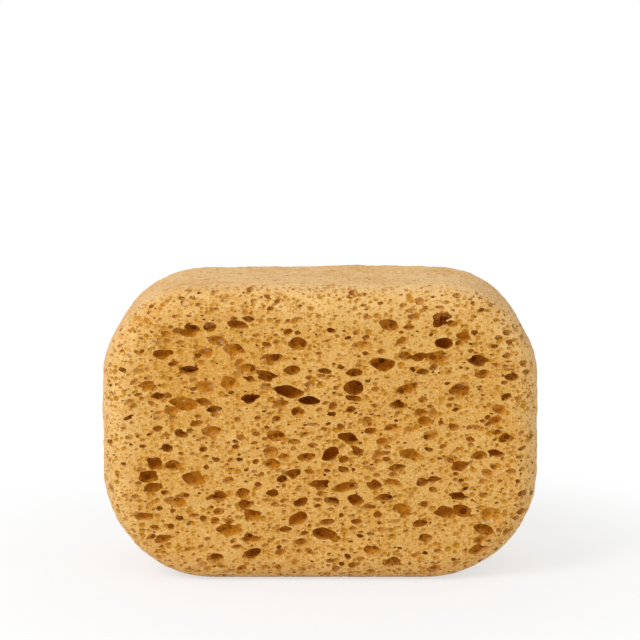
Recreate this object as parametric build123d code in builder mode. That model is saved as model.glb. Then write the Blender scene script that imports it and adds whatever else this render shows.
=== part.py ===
"""Bath sponge: one moulded block of open-cell foam, standing on its long narrow side.

Seen from the front, the block is a rectangle with large round corners, whose ends and top bow out a
little between them. A soft rounding runs all the way round both broad faces. The underside
has a flat that the block stands on. Millimetres, +Z up, +X along the length, and +Y from the front
face to the back face. The origin is on the standing flat, under the middle of the block.
"""

from build123d import *
import os

# Driving dimensions
length = 150.0  # end to end along X, at the widest point
height = 103.5  # from the standing flat to the highest point, along Z
thickness = 60.0  # front face to back face, along Y
top_corner_radius = 33.0  # the two upper corners, seen from the front
base_corner_radius = 38.0  # the two lower corners, which the block's own weight rounds a little more
end_bow = 1.6  # how far each end bows out between its corners
top_bow = 1.0  # how far the top bows up between its corners
edge_radius = 9.0  # soft rounding between each broad face and the rim

# Where the bowed ends would meet the base and the top, before their corners are rounded
corner_x = length / 2 - end_bow
corner_z = height - top_bow

with BuildPart() as sponge:
    # The block seen from the front: a flat base, two bowed ends, a bowed top and round corners
    with BuildSketch(Plane.XZ) as front_view:
        with BuildLine():
            Line((-corner_x, 0), (corner_x, 0))
            ThreePointArc((corner_x, 0), (length / 2, height / 2), (corner_x, corner_z))
            ThreePointArc((corner_x, corner_z), (0, height), (-corner_x, corner_z))
            ThreePointArc((-corner_x, corner_z), (-length / 2, height / 2), (-corner_x, 0))
        make_face()
        # In the sketch's own plane, the block's height runs along Y
        fillet(front_view.vertices().sort_by(Axis.Y)[:2], radius=base_corner_radius)
        fillet(front_view.vertices().sort_by(Axis.Y)[-2:], radius=top_corner_radius)
    extrude(amount=thickness / 2, both=True)

    # The soft rounding where each broad face turns into the rim
    broad_faces = sponge.faces().sort_by(Axis.Y)
    rim_edges = broad_faces[0].edges() + broad_faces[-1].edges()
    fillet(rim_edges, radius=edge_radius)

sponge.part.label = "sponge"

os.makedirs("parts", exist_ok=True)
export_step(sponge.part, "parts/sponge.step")
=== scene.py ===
"""Bath sponge: the looks of one block of open-cell foam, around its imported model.

The block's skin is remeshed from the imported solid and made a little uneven. Bubbles of many sizes are
then cut out of it, as the gas leaves them in the real foam, so that its pores are true hollows with
undercut rims and with windows from one to the next. Pinholes finer than that are in the material.
Metres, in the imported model's own frame.
"""

import math
from typing import NamedTuple

import bpy
import numpy as np
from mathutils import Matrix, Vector, noise
from mathutils.bvhtree import BVHTree


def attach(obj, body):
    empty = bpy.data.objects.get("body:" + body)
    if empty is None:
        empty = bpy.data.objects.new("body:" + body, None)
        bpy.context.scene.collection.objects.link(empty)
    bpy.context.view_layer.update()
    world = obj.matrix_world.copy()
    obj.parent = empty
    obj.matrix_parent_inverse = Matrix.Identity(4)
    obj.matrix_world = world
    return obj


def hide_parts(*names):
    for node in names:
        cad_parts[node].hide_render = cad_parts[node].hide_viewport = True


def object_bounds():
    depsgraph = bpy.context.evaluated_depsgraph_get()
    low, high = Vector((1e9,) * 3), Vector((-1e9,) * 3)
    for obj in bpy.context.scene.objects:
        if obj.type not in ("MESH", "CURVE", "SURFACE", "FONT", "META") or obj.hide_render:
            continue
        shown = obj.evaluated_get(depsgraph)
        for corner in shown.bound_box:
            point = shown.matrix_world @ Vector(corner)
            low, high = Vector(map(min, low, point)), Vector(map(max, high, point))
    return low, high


bl_info = {
    "name": "Bath Sponge",
    "version": (1, 0, 0),
    "blender": (4, 5, 0),
    "location": "3D View > Sidebar > Sponge",
    "description": "Makes an open-cell foam bath sponge with true pores, and the stage it stands on",
    "category": "Add Mesh",
}

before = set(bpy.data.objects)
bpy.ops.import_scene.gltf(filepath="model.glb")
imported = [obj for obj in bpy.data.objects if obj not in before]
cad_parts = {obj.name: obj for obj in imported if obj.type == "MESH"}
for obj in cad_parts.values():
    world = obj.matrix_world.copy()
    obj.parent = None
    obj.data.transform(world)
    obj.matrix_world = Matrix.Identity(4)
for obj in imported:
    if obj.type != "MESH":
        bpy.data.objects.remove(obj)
CAD_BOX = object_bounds()
MM = 0.001  # one millimetre, in Blender's metres
MOST_TRIANGLES = 196000  # as many as the block's mesh is left with
SHARPEST = math.radians(50)  # creases sharper than this are not shaded smooth
OUTLINE_CORNER = 35 * MM  # radius of the block's corners, seen from the front
OUTLINE_SHIFT = (2 * MM, 0, -2.5 * MM)  # makes the close-pored edge wider at the upper left
STAIN = (-38 * MM, -30 * MM, 80 * MM)  # the middle of the browner patch on the front
COARSE = 1.5 * MM  # pores of a larger radius may sink deeper, and stay off the base
WINDOWED = 1.7 * MM  # pores of a larger radius may have windows into further ones
LUMPY_REACH = 1.45  # how far a lumpy bubble may reach, as a share of its longest radius
SMALL_SHEET = 0.55  # size of the map's second and third sheets, as a share of the first
WHITE = (1.0, 1.0, 1.0, 1.0)


class PoreKind(NamedTuple):
    """One size of pore, and how it is spread over the skin."""

    density: float  # pores tried to a square metre
    least: float  # smallest radius
    most: float  # largest radius
    crowding: float  # least distance between two, as a share of their radii together
    on_rim: float  # share of them kept on the rim
    on_edge: float  # share of them kept along the edges of the broad faces
    stretch: float  # length over height
    splits: int  # how finely their meshes are split


PORE_KINDS = (
    PoreKind(14e3, 1.5 * MM, 2.8 * MM, 0.78, 0.08, 0.1, 1.55, 3),
    PoreKind(60e3, 0.85 * MM, 1.5 * MM, 0.88, 0.2, 0.55, 1.35, 2),
    PoreKind(120e3, 0.5 * MM, 0.85 * MM, 0.9, 0.7, 0.8, 1.3, 1),
)


class Bubble(NamedTuple):
    """One bubble to cut out of the foam."""

    middle: np.ndarray
    reach: np.ndarray  # its radius along each of its axes
    axes: np.ndarray  # its axes, as columns
    splits: int  # how finely its mesh is split
    seed: int  # of its lumps


class SpongeFoam(bpy.types.PropertyGroup):
    """Sizes of the foam's skin and pores."""

    skin_cell: bpy.props.FloatProperty(
        name="Skin Cell",
        description="Side of the squares that the block's skin is remeshed to",
        default=1.5 * MM,
        unit="LENGTH",
    )
    swell: bpy.props.FloatProperty(
        name="Swell",
        description="How far the skin rises and dips over a few centimetres",
        default=0.55 * MM,
        unit="LENGTH",
    )
    seed: bpy.props.IntProperty(
        name="Seed",
        description="Which random arrangement of pores is made",
        default=11,
    )


class SpongeColours(bpy.types.PropertyGroup):
    """Colours of the foam."""

    honey: bpy.props.FloatVectorProperty(
        name="Honey",
        description="The foam between the pores",
        subtype="COLOR",
        default=(0.70, 0.395, 0.105),
    )
    cream: bpy.props.FloatVectorProperty(
        name="Cream",
        description="The lightest specks of the foam",
        subtype="COLOR",
        default=(0.86, 0.57, 0.23),
    )
    # This colour is both the foam's own darker tone, in its patches, fibres and stain, and painted shade a
    # little way down inside the pores and in the pinholes.
    amber_tone_and_pore_shade: bpy.props.FloatVectorProperty(
        name="Amber",
        description="The foam a little way down inside a pore",
        subtype="COLOR",
        default=(0.58, 0.235, 0.014),
    )
    # This colour is painted shade: at the bottom of deep pores and in the pinholes of their walls.
    pore_shade_brown: bpy.props.FloatVectorProperty(
        name="Brown",
        description="The foam at the bottom of a deep pore",
        subtype="COLOR",
        default=(0.38, 0.085, 0.001),
    )
    # Partly the closer, paler foam of the rim, and partly painted light: the top and ends made paler as if
    # lit from above, with a painted sheen.
    rim_peach_and_sheen: bpy.props.FloatVectorProperty(
        name="Peach",
        description="The closer, paler foam of the rim",
        subtype="COLOR",
        default=(0.80, 0.53, 0.26),
    )
    butter: bpy.props.FloatVectorProperty(
        name="Butter",
        description="The yellower foam where the broad faces turn into the rim",
        subtype="COLOR",
        default=(0.80, 0.50, 0.18),
    )
    # Real thin skins across some pores, made paler as a painted glint.
    film_and_glint: bpy.props.FloatVectorProperty(
        name="Film",
        description="Thin dried skins of foam that stay across some pores",
        subtype="COLOR",
        default=(0.76, 0.55, 0.33),
    )


class SpongeStage(bpy.types.PropertyGroup):
    """The camera, the lamp and the even light round it."""

    distance: bpy.props.FloatProperty(
        name="Distance",
        description="From the camera to the middle of the sponge",
        default=0.8,
        unit="LENGTH",
    )
    elevation: bpy.props.FloatProperty(
        name="Elevation",
        description="How steeply the camera looks down",
        default=math.radians(12.0),
        subtype="ANGLE",
    )
    lens: bpy.props.FloatProperty(
        name="Lens",
        description="Focal length in millimetres",
        default=126.6,
    )
    lift: bpy.props.FloatProperty(
        name="Lift",
        description="How far above the sponge's middle the camera aims",
        default=35.5 * MM,
        unit="LENGTH",
    )
    key_power: bpy.props.FloatProperty(
        name="Key Power",
        description="Power of the lamp at the upper left",
        default=7.5,
        unit="POWER",
    )
    key_side: bpy.props.FloatProperty(
        name="Key Side",
        description="Side of the square lamp at the upper left",
        default=0.5,
        unit="LENGTH",
    )
    surround: bpy.props.FloatProperty(
        name="Surround",
        description="Strength of the even light from all round",
        default=0.77,
    )


def alone(piece):
    """Selects one object, and nothing else, and makes it the active one."""
    bpy.ops.object.select_all(action="DESELECT")
    piece.select_set(True)
    bpy.context.view_layer.objects.active = piece


def apply_modifier(piece, kind, **settings):
    """Adds one modifier to a piece with these settings, and applies it."""
    alone(piece)
    modifier = piece.modifiers.new(kind.title(), kind)
    for name, value in settings.items():
        setattr(modifier, name, value)
    bpy.ops.object.modifier_apply(modifier=modifier.name)


def points_of(mesh):
    """A mesh's points as rows of three numbers."""
    found = np.empty(len(mesh.vertices) * 3)
    mesh.vertices.foreach_get("co", found)
    return found.reshape(-1, 3)


def make_skin(foam):
    """The block's outer skin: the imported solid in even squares, gently uneven, flat where it stands."""
    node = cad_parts["sponge"]
    skin = node.copy()
    skin.data = node.data.copy()
    skin.parent = None
    for key in list(skin.keys()):
        del skin[key]
    bpy.context.scene.collection.objects.link(skin)
    skin.name = skin.data.name = "foam_block"
    alone(skin)
    bpy.ops.object.mode_set(mode="EDIT")
    bpy.ops.mesh.select_all(action="SELECT")
    bpy.ops.mesh.remove_doubles(threshold=0.01 * MM)
    bpy.ops.object.mode_set(mode="OBJECT")
    apply_modifier(skin, "REMESH", mode="VOXEL", voxel_size=foam.skin_cell)
    skin.data.materials.clear()

    points = points_of(skin.data)
    out = np.array([point.normal[:] for point in skin.data.vertices])
    rise = sum(
        swell * np.array([noise.noise(point) for point in points / size])
        for size, swell in foam_waves(foam.swell)
    )
    rise *= ramp(points[:, 2], 0, 4 * MM)  # none on the flat base
    skin.data.vertices.foreach_set("co", (points + out * rise[:, None]).ravel())
    skin.data.update()
    return skin


def foam_waves(swell):
    """The skin's rises and dips, of three sizes: how wide each size is, and how high."""
    return (28 * MM, swell), (6 * MM, 0.45 * swell), (2.6 * MM, 0.5 * swell)


def inset(points):
    """How far points lie inside the block's outline, seen from the front."""
    low, high = (np.array(corner) for corner in CAD_BOX)
    middle, half = (low + high) / 2, (high - low) / 2
    middle = middle + np.array(OUTLINE_SHIFT)
    beyond = abs(points - middle) - (half - OUTLINE_CORNER)
    beyond = np.stack([beyond[..., 0], beyond[..., 2]], -1)
    outside = np.linalg.norm(np.maximum(beyond, 0), axis=-1)
    return OUTLINE_CORNER - outside - np.minimum(beyond.max(-1), 0)


def ramp(values, low, high):
    """0 below low, 1 above high, and straight between."""
    return np.clip((values - low) / (high - low), 0, 1)


class Pores:
    """Finds places for the pores on the skin, and holds the bubbles that make them, largest first."""

    def __init__(self, skin, seed):
        self.random = np.random.default_rng(seed)
        mesh = skin.data
        mesh.calc_loop_triangles()
        corners = np.array([t.vertices for t in mesh.loop_triangles])
        self.corners = points_of(mesh)[corners]
        a, b, c = self.corners[:, 0], self.corners[:, 1], self.corners[:, 2]
        across = np.cross(b - a, c - a)
        twice_area = np.linalg.norm(across, axis=1)
        self.outward = across / twice_area[:, None]
        self.share = twice_area / twice_area.sum()
        self.area = twice_area.sum() / 2
        self.placed = np.zeros((0, 4))
        self.bubbles = []

    def spot(self):
        """A random point of the skin and the way out from it."""
        i = self.random.choice(len(self.share), p=self.share)
        u, v = self.random.random(2)
        if u + v > 1:
            u, v = 1 - u, 1 - v
        a, b, c = self.corners[i]
        return a + u * (b - a) + v * (c - a), self.outward[i]

    def scatter(self, kind):
        """Scatters the pores of one kind over the skin."""
        draw = self.random
        for _ in range(int(kind.density * self.area)):
            where, out = self.spot()
            size = kind.least * (kind.most / kind.least) ** (draw.random() ** 1.2)  # more small than large
            rim = 1 - ramp(abs(out[1]), 0.22, 0.72)
            edge = 1 - ramp(inset(where), 6 * MM, 12 * MM)
            if draw.random() < max(rim * (1 - kind.on_rim), edge * (1 - kind.on_edge)):
                continue
            size *= 1 - 0.35 * rim
            if where[2] < 0.2 * MM and size > COARSE:
                continue
            squash = where / np.array([kind.stretch, 1.0, 1.0])
            if len(self.placed):
                gap = np.linalg.norm(self.placed[:, :3] - squash, axis=1)
                if (gap < kind.crowding * (self.placed[:, 3] + size)).any():
                    continue
            self.placed = np.vstack([self.placed, [*squash, size]])
            self.add(where, out, size, kind, rim)

    def add(self, where, out, size, kind, rim):
        """One pore at a point of the skin. A large one may have a window or two into further ones."""
        draw = self.random
        length = size * kind.stretch * draw.uniform(0.8, 1.25)
        height = size * draw.uniform(0.75, 1.05)
        depth = size * draw.uniform(0.9, 1.4)
        axes = turned(draw.normal(0, math.radians(11)), draw.normal(0, math.radians(10)))
        reach = np.array([length, depth, height])
        along = np.linalg.norm(reach * (axes.T @ out))
        deepest = 0.65 if size > COARSE else 0.5
        sink = draw.uniform(-0.3, deepest) * (1 - 0.6 * rim)
        middle = where - out * along * sink
        self.bubbles.append(Bubble(middle, reach, axes, kind.splits, draw.integers(1 << 30)))
        if size > WINDOWED and draw.random() < 0.75:
            for _ in range(draw.integers(1, 3)):
                aside = draw.normal(0, 0.55, 3)
                way = -out + aside - out * (aside @ out)
                way /= np.linalg.norm(way)
                child = size * draw.uniform(0.3, 0.55)
                start = middle + axes @ (reach * (axes.T @ way)) * 0.95
                self.bubbles.append(Bubble(start, np.full(3, child), axes, 2, draw.integers(1 << 30)))


def turned(tilt, lean):
    """Three axes, turned by tilt in the broad face and by lean about the upright."""
    ct, st, cl, sl = math.cos(tilt), math.sin(tilt), math.cos(lean), math.sin(lean)
    in_face = np.array([[ct, 0, -st], [0, 1, 0], [st, 0, ct]])
    upright = np.array([[cl, -sl, 0], [sl, cl, 0], [0, 0, 1]])
    return upright @ in_face


def bubble_mesh(splits):
    """Points and triangles of a round bubble, of unit radius."""
    bpy.ops.object.select_all(action="DESELECT")
    bpy.ops.mesh.primitive_ico_sphere_add(subdivisions=splits, radius=1.0)
    ball = bpy.context.active_object
    points = points_of(ball.data)
    triangles = np.array([p.vertices[:] for p in ball.data.polygons])
    bpy.data.objects.remove(ball)
    return points, triangles


def blown(points, bubble):
    """A round bubble's points, as it sets in the foam: drawn out along its length, and lumpy."""
    draw = np.random.default_rng(bubble.seed)
    shape = points.copy()
    tip = draw.uniform(0, 0.4)
    shape[:, 2] *= 1 - tip * points[:, 0] ** 2
    shape[:, 0] *= 1 + 0.12 * tip
    lump = np.ones(len(points))
    for waves in (2.2, 2.2, 2.2, 5.5, 5.5, 5.5):
        way = draw.normal(size=3)
        way /= np.linalg.norm(way)
        lump += draw.normal(0, 0.14 / waves**0.5) * np.sin(waves * points @ way + draw.uniform(0, 6.28))
    return (shape * lump[:, None] * bubble.reach) @ bubble.axes.T + bubble.middle


def sorted_apart(bubbles):
    """The bubbles in as few lots as keep those of one lot clear of each other."""
    lots = []
    for bubble in bubbles:
        far = LUMPY_REACH * bubble.reach.max()
        for lot in lots:
            gaps = np.linalg.norm(np.array(lot["middle"]) - bubble.middle, axis=1)
            if (gaps >= np.array(lot["far"]) + far).all():
                break
        else:
            lot = {"middle": [], "far": [], "bubbles": []}
            lots.append(lot)
        lot["middle"].append(bubble.middle)
        lot["far"].append(far)
        lot["bubbles"].append(bubble)
    return [lot["bubbles"] for lot in lots]


def cutter_of(lot, shapes):
    """One object that holds a lot of bubbles."""
    points, triangles, count = [], [], 0
    for bubble in lot:
        ball, corners = shapes[bubble.splits]
        points.append(blown(ball, bubble))
        triangles.append(corners + count)
        count += len(ball)
    mesh = bpy.data.meshes.new("bubbles")
    mesh.from_pydata(np.vstack(points).tolist(), [], np.vstack(triangles).tolist())
    cutter = bpy.data.objects.new("bubbles", mesh)
    bpy.context.scene.collection.objects.link(cutter)
    return cutter


def drop_loose(piece):
    """Keeps only the largest connected part of a piece, so that no crumb or sealed bubble stays."""
    mesh = piece.data
    edges = np.empty(len(mesh.edges) * 2, np.int64)
    mesh.edges.foreach_get("vertices", edges)
    edges = edges.reshape(-1, 2)
    mark = np.arange(len(mesh.vertices))
    while True:
        low = np.minimum(mark[edges[:, 0]], mark[edges[:, 1]])
        new = mark.copy()
        np.minimum.at(new, edges[:, 0], low)
        np.minimum.at(new, edges[:, 1], low)
        new = new[new]
        if (new == mark).all():
            break
        mark = new
    kept = np.bincount(mark).argmax()
    alone(piece)
    bpy.ops.object.mode_set(mode="EDIT")
    bpy.ops.mesh.select_all(action="DESELECT")
    bpy.ops.object.mode_set(mode="OBJECT")
    mesh.vertices.foreach_set("select", mark != kept)
    mesh.edges.foreach_set("select", mark[edges[:, 0]] != kept)
    bpy.ops.object.mode_set(mode="EDIT")
    bpy.ops.mesh.select_mode(type="VERT")
    bpy.ops.mesh.delete(type="VERT")
    bpy.ops.object.mode_set(mode="OBJECT")


def close_up(piece):
    """Cuts out the few spots where thinning left faces crossed, and closes the holes."""
    alone(piece)
    bpy.ops.object.mode_set(mode="EDIT")
    bpy.ops.mesh.select_mode(type="VERT")
    for _ in range(20):  # two or three rounds are usually enough
        bpy.ops.mesh.select_all(action="SELECT")
        bpy.ops.mesh.quads_convert_to_tris()
        bpy.ops.mesh.select_all(action="DESELECT")
        bpy.ops.mesh.select_non_manifold()
        if not piece.data.total_vert_sel:
            break
        bpy.ops.mesh.delete(type="VERT")
        bpy.ops.mesh.select_all(action="SELECT")
        bpy.ops.mesh.delete_loose()
        bpy.ops.mesh.select_all(action="SELECT")
        bpy.ops.mesh.fill_holes(sides=0)
    bpy.ops.object.mode_set(mode="OBJECT")


def note_depth(piece, uncut, normals):
    """Stores on each point how deep it lies under the uncut skin, and how near rim and edge it is."""
    points = points_of(piece.data)
    found = [uncut.find_nearest(point)[2:] for point in points]
    out = np.array([normals[face] for face, _ in found])
    facing = abs(out[:, 1]) - 0.15 * abs(out[:, 0])  # a little less towards the ends
    notes = {
        "depth_mm": np.array([far for _, far in found]) / MM,
        "rim": 1 - ramp(facing, 0.2, 0.75),
        "edge": 1 - ramp(inset(points), 4 * MM, 12 * MM),
    }
    for name, values in notes.items():
        made = piece.data.attributes.new(name, "FLOAT", "POINT")
        made.data.foreach_set("value", values.astype(np.float32))


def lay_map(piece, uncut, normals):
    """Lays a map for the finish: the block unfolded like a box.

    What shows from outside is on one sheet. Under each pore's overhang, the faces turned outwards are on
    a second, smaller sheet and those turned inwards on a third, so that nothing lies over anything else.
    """
    mesh = piece.data
    points = points_of(mesh)
    corners = np.array([face.vertices[:] for face in mesh.polygons])
    middles = points[corners].mean(1)
    own = BVHTree.FromPolygons(points.tolist(), corners.tolist())
    out = np.array([normals[uncut.find_nearest(middle)[2]] for middle in middles])
    axis = abs(out).argmax(1)
    sign = np.sign(out[np.arange(len(out)), axis])
    way = np.zeros_like(out)
    way[np.arange(len(out)), axis] = sign
    turned_out = (np.array([face.normal for face in mesh.polygons]) * way).sum(1) > 0
    sheet = np.where(turned_out, 1, 2)
    for i in np.flatnonzero(turned_out):
        if own.ray_cast(middles[i] + way[i] * 0.02 * MM, way[i])[0] is None:
            sheet[i] = 0

    gap = 1.5 * MM  # room round each side of the box on the map
    low, high = (np.array(corner) for corner in CAD_BOX)
    size = high - low + 2 * gap
    wide, tall = size[0] + size[1], 2 * size[2] + 2 * size[1]
    corner_of = {  # of each side of the box: its axis and sign, and where it is on a sheet
        (1, -1): (0, 0),
        (1, 1): (0, size[2]),
        (2, 1): (0, 2 * size[2]),
        (2, -1): (0, 2 * size[2] + size[1]),
        (0, -1): (size[0], 0),
        (0, 1): (size[0], size[2]),
    }
    scale = np.array([1.0, SMALL_SHEET, SMALL_SHEET])[sheet]
    start = np.array([[0.0, 0.0], [wide, 0.0], [wide, SMALL_SHEET * tall]])[sheet]
    place = np.zeros((len(corners), 3, 2))
    for (side, facing), corner in corner_of.items():
        here = (axis == side) & (sign == facing)
        across = [i for i in range(3) if i != side]
        flat = (points - low + gap)[corners[here]][..., across]
        place[here] = start[here][:, None] + (flat + np.array(corner)) * scale[here][:, None, None]
    place /= np.array([(1 + SMALL_SHEET) * wide, 2 * SMALL_SHEET * tall])
    layer = mesh.uv_layers.new(name="OFBake")
    layer.uv.foreach_set("vector", place.astype(np.float32).ravel())


class Value:
    """A number, colour or vector in a material. Sums on it add Math nodes."""

    def __init__(self, tree, socket):
        self.tree, self.socket = tree, socket

    def _maths(self, operation, *inputs):
        node = self.tree.nodes.new("ShaderNodeMath")
        node.operation = operation
        for i, value in enumerate(inputs):
            if isinstance(value, Value):
                self.tree.links.new(value.socket, node.inputs[i])
            else:
                node.inputs[i].default_value = value
        return Value(self.tree, node.outputs[0])

    def __add__(self, other):
        return self._maths("ADD", self, other)

    def __sub__(self, other):
        return self._maths("SUBTRACT", self, other)

    def __rsub__(self, other):
        return self._maths("SUBTRACT", other, self)

    def __mul__(self, other):
        return self._maths("MULTIPLY", self, other)

    def __truediv__(self, other):
        return self._maths("DIVIDE", self, other)

    __radd__, __rmul__ = __add__, __mul__

    def most(self, other):
        """The larger of this value and another."""
        return self._maths("MAXIMUM", self, other)


class Finish:
    """The nodes of a material or of the world, made by kind."""

    def __init__(self, owner):
        self.owner = owner
        owner.use_nodes = True
        self.tree = owner.node_tree
        self.tree.nodes.clear()

    def node(self, kind, settings=None, inputs=None, output=0):
        """Adds a node of one kind, sets it, fills its sockets and returns one of its outputs."""
        node = self.tree.nodes.new(kind)
        for key, value in (settings or {}).items():
            setattr(node, key, value)
        for key, value in (inputs or {}).items():
            if isinstance(value, Value):
                self.tree.links.new(value.socket, node.inputs[key])
            else:
                node.inputs[key].default_value = value
        return Value(self.tree, node.outputs[output]) if node.outputs else None

    def blend(self, share, low, high):
        """A colour that goes from low to high as share goes from 0 to 1."""
        low, high = (c if isinstance(c, Value) else (*c, 1.0) for c in (low, high))
        return self.node(
            "ShaderNodeMix",
            {"data_type": "RGBA", "clamp_factor": True},
            {0: share, 6: low, 7: high},  # its factor and its two colours
            output=2,
        )

    def between(self, value, low, high):
        """0 below low, 1 above high, and smooth between. Low may be the larger."""
        return self.node(
            "ShaderNodeMapRange",
            {"interpolation_type": "SMOOTHSTEP"},
            {"Value": value, "From Min": low, "From Max": high},
        )


def pinholes(finish, place, spacing, share, largest):
    """Round pits, at a share of the places that lie about spacing apart: their shade and their hollow.

    The largest is the radius of the largest pit, as a share of the spacing.
    """
    cell = {"voronoi_dimensions": "3D", "feature": "F1", "distance": "EUCLIDEAN"}
    inputs = {"Vector": place, "Scale": 1 / spacing, "Randomness": 1.0}
    near = finish.node("ShaderNodeTexVoronoi", cell, inputs, output="Distance")
    colour = finish.node("ShaderNodeTexVoronoi", cell, inputs, output="Color")
    chance = finish.node("ShaderNodeSeparateColor", None, {"Color": colour}, output="Red")
    inside = (chance - (1 - share)) / share * largest - near
    return finish.between(inside, 0.0, 0.4 * largest), finish.between(inside, -0.1, 0.8 * largest)


def foam_finish(colours):
    """Honey foam: pale at the rim, partly by painted light; painted shade down in the pores, from deep
    orange to darker with depth; pinholes all over, with painted shade in them.
    """
    finish = Finish(bpy.data.materials.new("honey_foam"))
    place = finish.node("ShaderNodeTexCoord", output="Object")
    stretched = finish.node(  # in millimetres, and drawn out along the block's length
        "ShaderNodeMapping", None, {"Vector": place, "Scale": (0.72 / MM, 1 / MM, 1 / MM)}
    )

    def noted(name):
        return finish.node("ShaderNodeAttribute", {"attribute_name": name}, output="Fac")

    def clouds(size, detail=2.0):
        return finish.node(
            "ShaderNodeTexNoise",
            {"noise_dimensions": "3D"},
            {"Vector": stretched, "Scale": 1 / size, "Detail": detail, "Roughness": 0.6},
        )

    depth, rim, edge = noted("depth_mm"), noted("rim"), noted("edge")
    wide, patchy, fibre = clouds(16.0), clouds(3.2, 3.0), clouds(0.7, 3.0)
    aside = finish.node(
        "ShaderNodeVectorMath", {"operation": "DISTANCE"}, {0: place, 1: STAIN}, output="Value"
    )
    stain = finish.between(aside + 0.06 * (patchy - 0.5), 34 * MM, 12 * MM)
    coarse = pinholes(finish, stretched, 2.0, 0.6, 0.58)
    middling = pinholes(finish, stretched, 1.25, 0.75, 0.62)
    fine = pinholes(finish, stretched, 0.7, 0.8, 0.66)
    # Painted shade in the pinholes: darker inside their rims, where shade falls in them; the hollows below
    # give their bump.
    pits = coarse[0].most(middling[0]).most(0.9 * fine[0])
    hollows = coarse[1].most(0.6 * middling[1]).most(0.25 * fine[1])
    open_skin = 1 - 0.6 * rim

    # The skin: plain foam, yellower where the broad faces turn into the rim and paler on the rim itself,
    # that paleness partly the closer foam there and partly painted light from above and painted sheen;
    # then broad and small patches, the stain, fibres and painted shade in the pinholes.
    ground = finish.blend(edge, colours.honey, colours.butter)
    ground = finish.blend(rim, ground, colours.rim_peach_and_sheen)
    ground = finish.blend(finish.between(wide, 0.58, 0.36) * 0.2, ground, colours.amber_tone_and_pore_shade)
    ground = finish.blend(finish.between(patchy, 0.56, 0.36) * 0.25 * open_skin, ground, colours.amber_tone_and_pore_shade)
    ground = finish.blend(0.35 * stain, ground, colours.amber_tone_and_pore_shade)
    ground = finish.blend(finish.between(fibre, 0.50, 0.66) * 0.6, ground, colours.cream)
    ground = finish.blend(finish.between(fibre, 0.46, 0.32) * 0.35 * open_skin, ground, colours.amber_tone_and_pore_shade)
    ground = finish.blend(pits * open_skin, ground, colours.amber_tone_and_pore_shade)

    # Painted shade down in the pores, growing with depth: deep orange, then darker in the pinholes of
    # their walls, then darkest at the bottom; less of it near the edges of the broad faces.
    calm = 1 - 0.55 * edge
    colour = finish.blend(finish.between(depth, 0.1, 1.9) * calm, ground, colours.amber_tone_and_pore_shade)
    wall_pit_shade = finish.between(depth, 0.3, 1.3) * pits * calm
    colour = finish.blend(0.45 * wall_pit_shade, colour, colours.pore_shade_brown)
    shade = finish.between(depth + 6 * (patchy - 0.5), 1.4, 5.5)
    colour = finish.blend(shade * calm * 0.8, colour, colours.pore_shade_brown)

    # Thin pale films part of the way down some pores: real skins of foam, whose paleness is partly a
    # painted glint.
    film_and_glint = finish.between(clouds(2.6, 1.0) + 0.05 * stain, 0.66, 0.76) * finish.between(depth, 0.3, 0.9)
    film_and_glint = film_and_glint * (1 - finish.between(depth, 2.4, 4.0)) * (1 - rim)
    colour = finish.blend(0.6 * film_and_glint, colour, colours.film_and_glint)

    height = (0.35 * fibre - hollows) * (1 - 0.4 * rim) + fibre * rim * 0.25
    bump = finish.node(
        "ShaderNodeBump", None, {"Strength": 1.0, "Distance": 0.9 * MM, "Height": height}
    )
    skin = finish.node(
        "ShaderNodeBsdfPrincipled",
        None,
        {
            "Base Color": colour,
            "Roughness": 0.92 - 0.5 * film_and_glint,
            "Specular IOR Level": 0.08,
            "Normal": bump,
        },
    )
    finish.node("ShaderNodeOutputMaterial", None, {"Surface": skin})
    return finish.owner


def floor_finish(clear):
    """Matt and pale by the block, where its shadow falls, and plain white to the camera beyond clear."""
    finish = Finish(bpy.data.materials.new("pale_floor"))
    place = finish.node("ShaderNodeTexCoord", output="Object")
    far = finish.node("ShaderNodeVectorMath", {"operation": "LENGTH"}, {0: place}, output="Value")
    seen = finish.node("ShaderNodeLightPath", output="Is Camera Ray")
    white = finish.node("ShaderNodeEmission", None, {"Color": WHITE, "Strength": 1.0})
    matt = finish.node(
        "ShaderNodeBsdfPrincipled", None, {"Base Color": (0.9, 0.9, 0.9, 1.0), "Roughness": 0.9}
    )
    share = (finish.between(far, 0.5 * clear, clear) * 0.35 + 0.65) * seen
    mixed = finish.node("ShaderNodeMixShader", None, {0: share, 1: matt, 2: white})
    finish.node("ShaderNodeOutputMaterial", None, {"Surface": mixed})
    return finish.owner


def studio_finish(strength):
    """Even light from all round, which the camera sees as plain white."""
    finish = Finish(bpy.data.worlds.new("studio"))
    seen = finish.node("ShaderNodeLightPath", output="Is Camera Ray")
    light = finish.node("ShaderNodeBackground", None, {"Color": WHITE, "Strength": strength})
    plain = finish.node("ShaderNodeBackground", None, {"Color": WHITE, "Strength": 1.0})
    mixed = finish.node("ShaderNodeMixShader", None, {0: seen, 1: light, 2: plain})
    finish.node("ShaderNodeOutputWorld", None, {"Surface": mixed})
    return finish.owner


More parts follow.
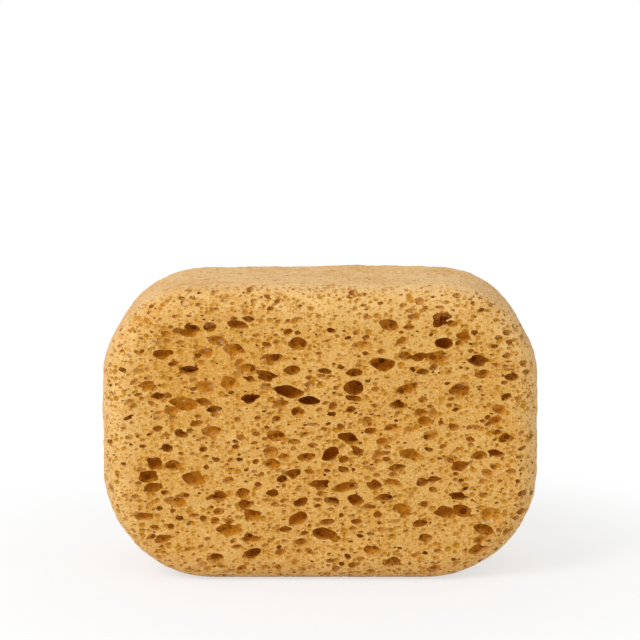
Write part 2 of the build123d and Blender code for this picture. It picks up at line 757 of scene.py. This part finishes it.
class SPONGE_OT_foam_block(bpy.types.Operator):
    """Make the foam block with all its pores"""

    bl_idname = "sponge.foam_block"
    bl_label = "Foam Block"

    def execute(self, context):
        foam = context.scene.sponge_foam
        skin = make_skin(foam)
        uncut = BVHTree.FromPolygons(
            [point.co.copy() for point in skin.data.vertices],
            [face.vertices[:] for face in skin.data.polygons],
        )
        normals = [face.normal.copy() for face in skin.data.polygons]
        pores = Pores(skin, foam.seed)
        for kind in PORE_KINDS:
            pores.scatter(kind)
        shapes = {splits: bubble_mesh(splits) for splits in (1, 2, 3)}
        for lot in sorted_apart(pores.bubbles):
            cutter = cutter_of(lot, shapes)
            apply_modifier(
                skin, "BOOLEAN", operation="DIFFERENCE", solver="MANIFOLD", object=cutter
            )
            bpy.data.objects.remove(cutter)
        drop_loose(skin)
        skin.data.calc_loop_triangles()
        count = len(skin.data.loop_triangles)
        if count > MOST_TRIANGLES:
            apply_modifier(skin, "DECIMATE", ratio=MOST_TRIANGLES / count)
        close_up(skin)
        note_depth(skin, uncut, normals)
        lay_map(skin, uncut, normals)
        alone(skin)
        bpy.ops.object.shade_smooth_by_angle(angle=SHARPEST)
        skin.data.materials.clear()
        skin.data.materials.append(foam_finish(context.scene.sponge_colours))
        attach(skin, "root")
        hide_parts("sponge")
        return {"FINISHED"}


def area_lamp(name, place, aim, side, power):
    """A square soft lamp that shines from place towards aim."""
    data = bpy.data.lights.new(name, "AREA")
    data.size = side
    data.energy = power
    lamp = bpy.data.objects.new(name, data)
    bpy.context.scene.collection.objects.link(lamp)
    lamp.location = place
    lamp.rotation_euler = (aim - place).to_track_quat("-Z", "Y").to_euler()


class SPONGE_OT_stage(bpy.types.Operator):
    """Make the floor, the lamps and the camera"""

    bl_idname = "sponge.stage"
    bl_label = "Stage"

    def execute(self, context):
        scene, stage = context.scene, context.scene.sponge_stage
        low, high = CAD_BOX
        middle = (low + high) / 2

        bpy.ops.object.select_all(action="DESELECT")
        bpy.ops.mesh.primitive_plane_add(size=6.0, location=(0, 0, low.z))
        floor = context.active_object
        floor.name = "floor"
        floor.data.materials.append(floor_finish(1.2 * (high.x - low.x)))

        scene.world = studio_finish(stage.surround)
        key_place = middle + Vector((-0.75, -0.75, 0.8))
        area_lamp("key", key_place, middle, stage.key_side, stage.key_power)

        camera_data = bpy.data.cameras.new("camera")
        camera_data.lens = stage.lens
        camera = bpy.data.objects.new("camera", camera_data)
        scene.collection.objects.link(camera)
        scene.camera = camera
        back = Vector((0, -math.cos(stage.elevation), math.sin(stage.elevation)))
        aim = middle + Vector((0, 0, stage.lift))
        camera.location = middle + back * stage.distance
        camera.rotation_euler = (aim - camera.location).to_track_quat("-Z", "Y").to_euler()
        scene.view_settings.view_transform = "Standard"
        return {"FINISHED"}


class SPONGE_PT_panel(bpy.types.Panel):
    """Lists the sponge's operators and settings"""

    bl_idname = "SPONGE_PT_panel"
    bl_label = "Bath Sponge"
    bl_space_type = "VIEW_3D"
    bl_region_type = "UI"
    bl_category = "Sponge"

    def draw(self, context):
        for name in ("sponge_foam", "sponge_colours", "sponge_stage"):
            group = getattr(context.scene, name)
            for key in group.__annotations__:
                self.layout.prop(group, key)
        for operator in (SPONGE_OT_foam_block, SPONGE_OT_stage):
            self.layout.operator(operator.bl_idname)


CLASSES = (
    SpongeFoam,
    SpongeColours,
    SpongeStage,
    SPONGE_OT_foam_block,
    SPONGE_OT_stage,
    SPONGE_PT_panel,
)
GROUPS = {
    "sponge_foam": SpongeFoam,
    "sponge_colours": SpongeColours,
    "sponge_stage": SpongeStage,
}


def register():
    for cls in CLASSES:
        bpy.utils.register_class(cls)
    for name, group in GROUPS.items():
        setattr(bpy.types.Scene, name, bpy.props.PointerProperty(type=group))


def unregister():
    for name in GROUPS:
        delattr(bpy.types.Scene, name)
    for cls in reversed(CLASSES):
        bpy.utils.unregister_class(cls)


def main():
    register()
    bpy.ops.sponge.foam_block()
    bpy.ops.sponge.stage()


if __name__ == "__main__":
    main()
